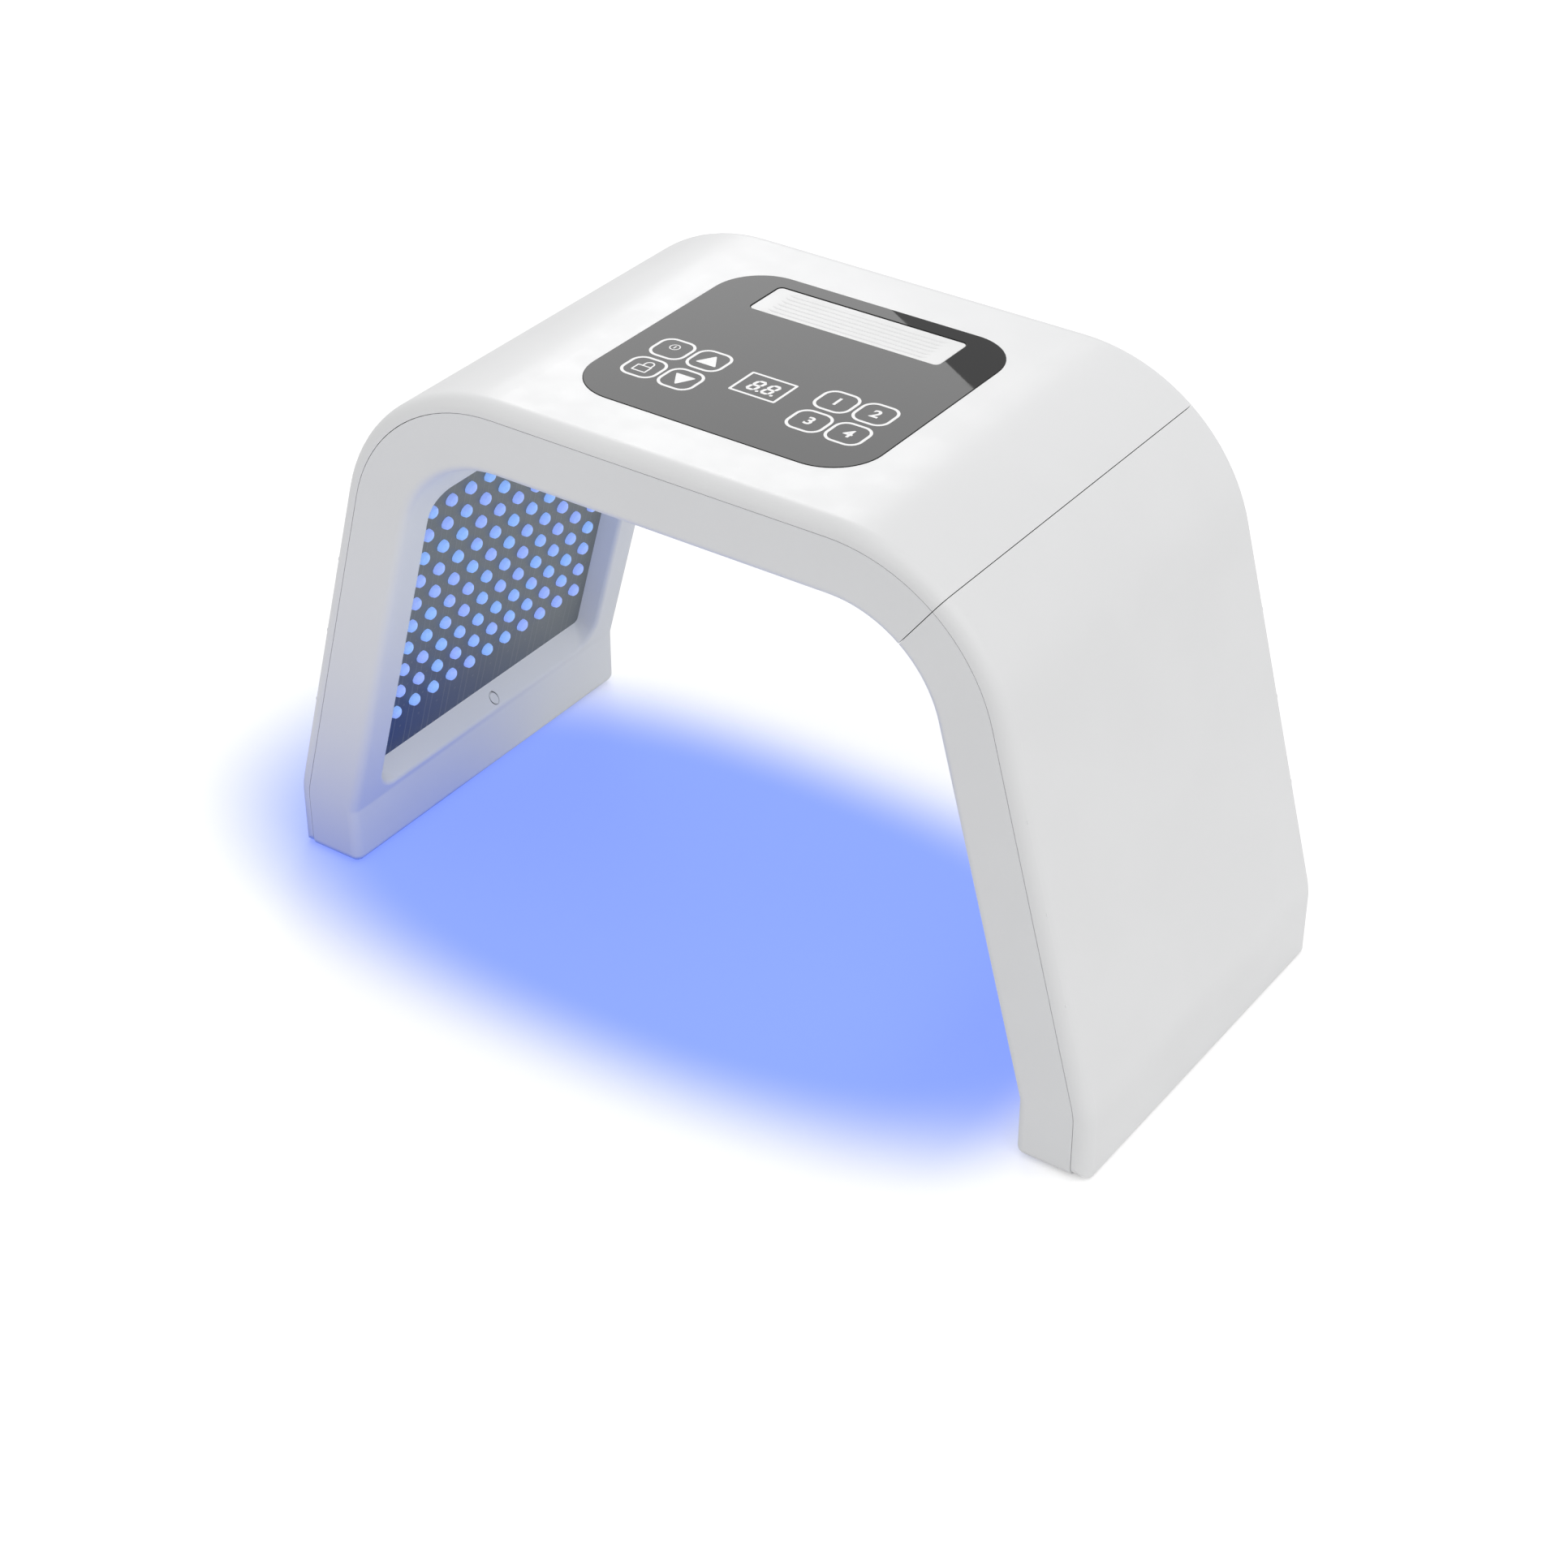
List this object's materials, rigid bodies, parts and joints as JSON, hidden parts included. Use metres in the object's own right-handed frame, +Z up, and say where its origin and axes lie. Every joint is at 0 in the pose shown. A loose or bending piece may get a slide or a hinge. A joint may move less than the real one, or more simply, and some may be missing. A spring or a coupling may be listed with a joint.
{
  "type": "led face mask",
  "caption": "Bridge-shaped light therapy arch with lamp grids facing inwards, a touch panel and vent on top, and one leg that folds in.",
  "frame": {"origin": "on the table, under the middle of the arch's bounding box, with the folding leg up in use", "axes": "+X towards the folding leg, along the width; +Y from the front rim to the rear rim with the power inlet; +Z up"},
  "size_m": [0.43, 0.2, 0.2733],
  "materials": {
    "shell": "smooth white moulded plastic, semi-gloss",
    "liner": "smooth white moulded plastic, satin",
    "panel": "grey gloss sheet",
    "vent": "fine satin",
    "circuit": "solder-resist green",
    "foam": "soft matt foam",
    "display": "dark window face",
    "black_plastic": "fine grain",
    "screw": "zinc plated",
    "lamp_board": "dark grey-green solder resist",
    "lamp": "clear blue lens, lit",
    "hinge": "bare steel",
    "pad": "soft matt"
  },
  "bodies": {
    "frame": {"crown_shell": "shell", "crown_liner": "liner", "control_panel": "panel", "vent_grille": "vent", "touch_board": "circuit", "driver_board": "circuit", "touch_pads": "foam", "display_module": "display", "power_inlet": "black_plastic", "fan_frame": "black_plastic", "fan_screws": "screw", "led_board_left": "lamp_board", "led_board_crown": "lamp_board", "led_lenses_left": "lamp", "led_lenses_crown": "lamp", "hinge_leaves_crown": "hinge", "hinge_pins": "hinge", "hinge_screws_crown": "screw", "cover_screws_crown": "screw", "board_screws_crown": "screw", "screw_plug_left": "liner", "foot_pads_left": "pad"},
    "wing": {"wing_shell": "shell", "wing_liner": "liner", "led_board_wing": "lamp_board", "led_lenses_wing": "lamp", "hinge_leaves_wing": "hinge", "hinge_screws_wing": "screw", "cover_screws_wing": "screw", "board_screws_wing": "screw", "screw_plug_wing": "liner", "foot_pads_wing": "pad"},
    "fan": {"fan_rotor": "black_plastic"}
  },
  "joints": [
    {"name": "wing_fold", "type": "hinge", "parent": "frame", "child": "wing", "pos_m": [0.11606, 0, 0.22752], "axis": [0, 1, 0], "range_deg": [0, 100]},
    {"name": "fan_spin", "type": "hinge", "parent": "frame", "child": "fan", "pos_m": [0.02604, 0.0466, 0.263], "axis": [0, 0, 1], "continuous": true}
  ]
}
